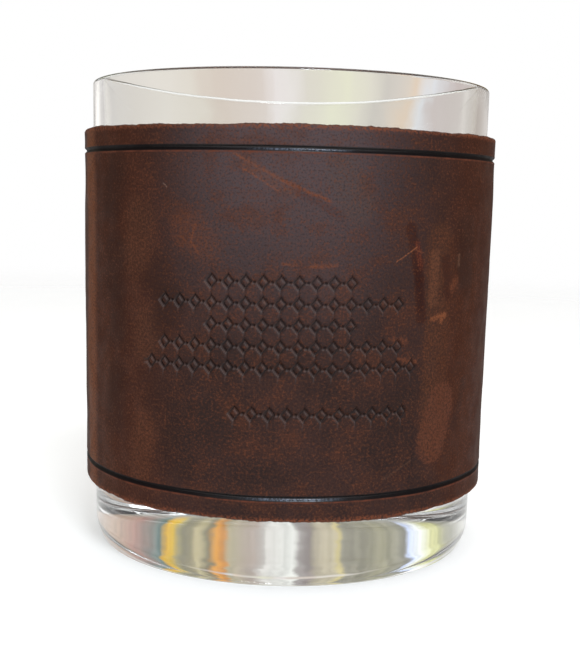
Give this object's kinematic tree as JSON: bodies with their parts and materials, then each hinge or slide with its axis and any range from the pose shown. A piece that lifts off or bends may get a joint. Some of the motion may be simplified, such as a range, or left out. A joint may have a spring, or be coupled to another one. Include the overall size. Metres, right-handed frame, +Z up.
{
  "type": "whiskey tumbler in a leather sleeve",
  "caption": "Clear straight-sided whiskey tumbler with a heavy base and rounded rim, standing in a dark brown leather sleeve laced shut at the back; the glass lifts out.",
  "frame": {"origin": "centre of the glass's base, on the surface it stands on", "axes": "+Z up along the glass's axis; the plain front of the sleeve faces -Y and its laced seam is at +Y"},
  "size_m": [0.0864, 0.0878, 0.0954],
  "materials": {
    "glass": "clear soda-lime glass, fire-polished",
    "leather": "dark brown waxed pull-up leather with raw edges, scuffed",
    "thread": "dark brown waxed thread, satin"
  },
  "bodies": {
    "sleeve": {"leather_sleeve": "leather", "seam_thread": "thread"},
    "tumbler": {"glass_tumbler": "glass"}
  },
  "joints": [
    {"name": "glass_lifts_out", "type": "slide", "parent": "sleeve", "child": "tumbler", "axis": [0, 0, 1], "range_m": [0, 0.1]}
  ]
}
